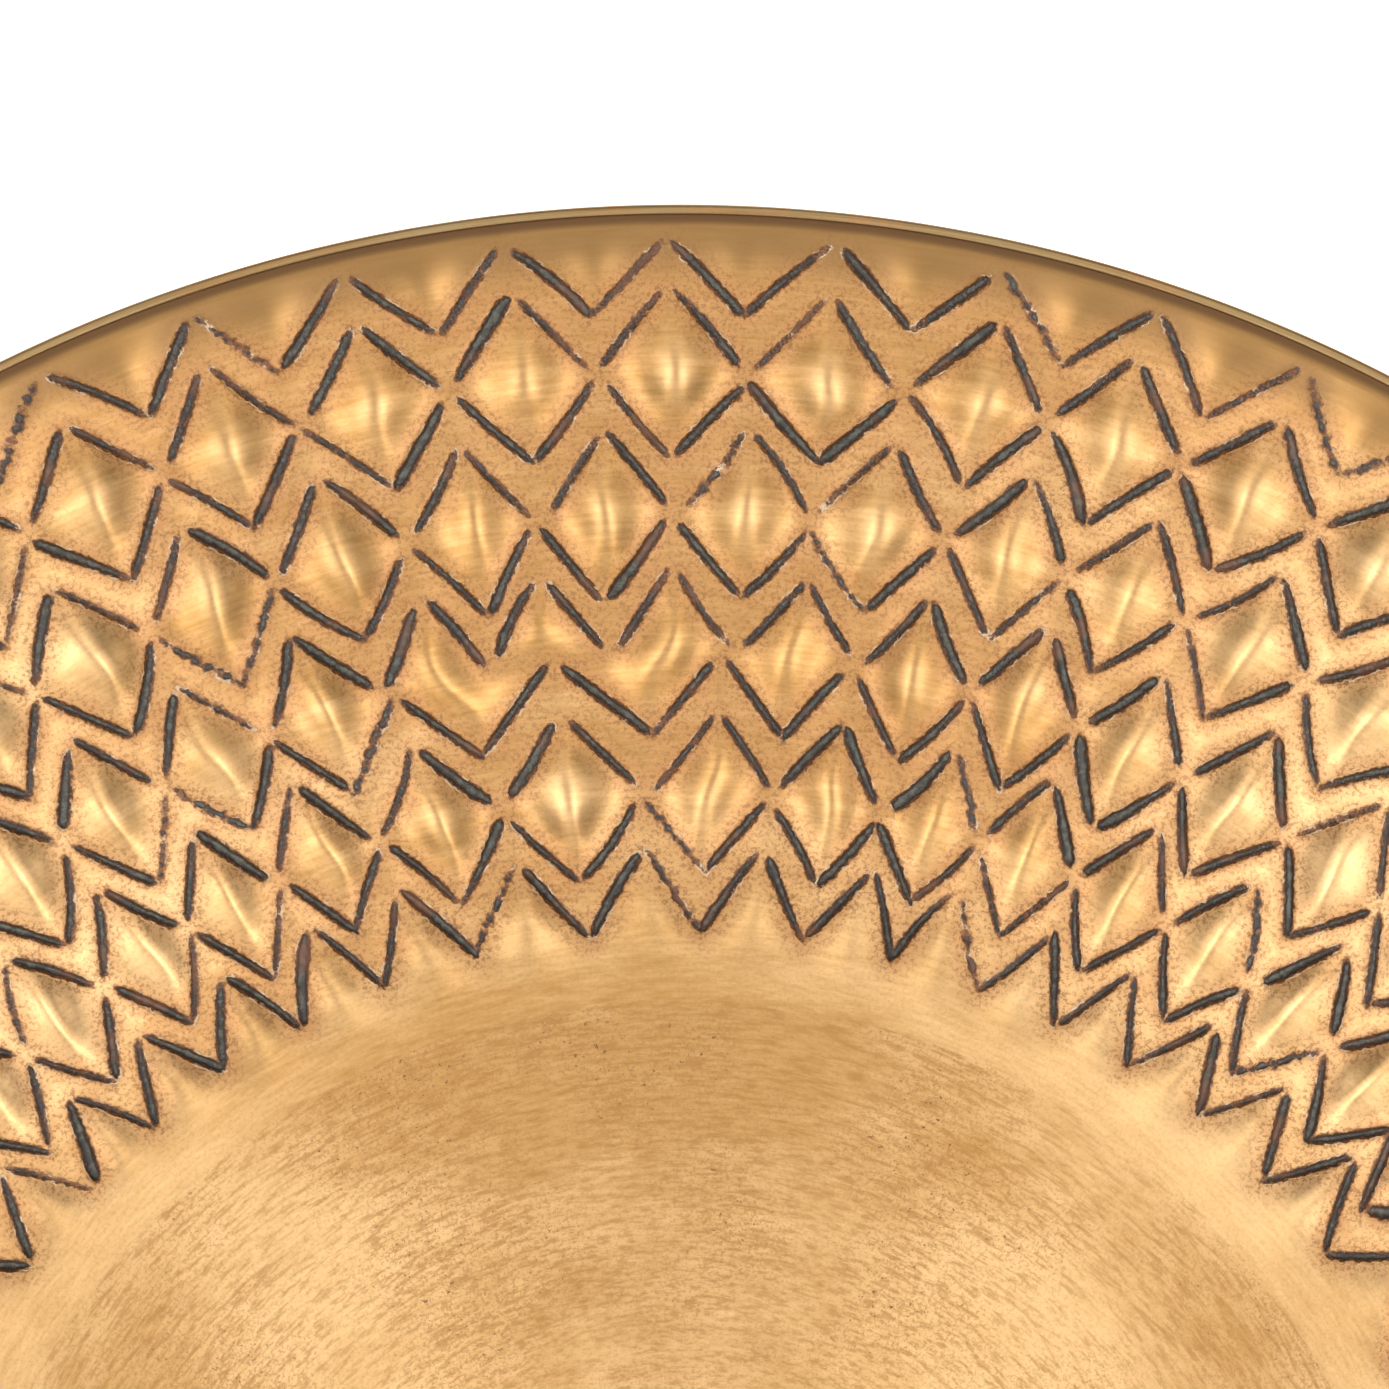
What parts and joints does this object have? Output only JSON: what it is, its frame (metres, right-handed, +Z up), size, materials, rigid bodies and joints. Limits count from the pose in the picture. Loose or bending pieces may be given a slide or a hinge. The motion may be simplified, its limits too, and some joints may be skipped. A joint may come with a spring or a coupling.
{
  "type": "brass tray",
  "caption": "Round shallow serving tray of hand-chased brass, with a flat field, a sloping patterned wall and a soldered edge band.",
  "frame": {"origin": "centre of the face that the tray stands on", "axes": "+Z up, out of the dish, along the tray's axis of revolution"},
  "size_m": [0.38, 0.38, 0.028],
  "materials": {
    "chased_brass": "antiqued satin brass, brushed round the centre, dark in the chased strokes",
    "band_brass": "satin drawn brass strip with a fine turned grain"
  },
  "bodies": {
    "root": {"tray_pan": "chased_brass", "rim_band": "band_brass"}
  },
  "joints": []
}
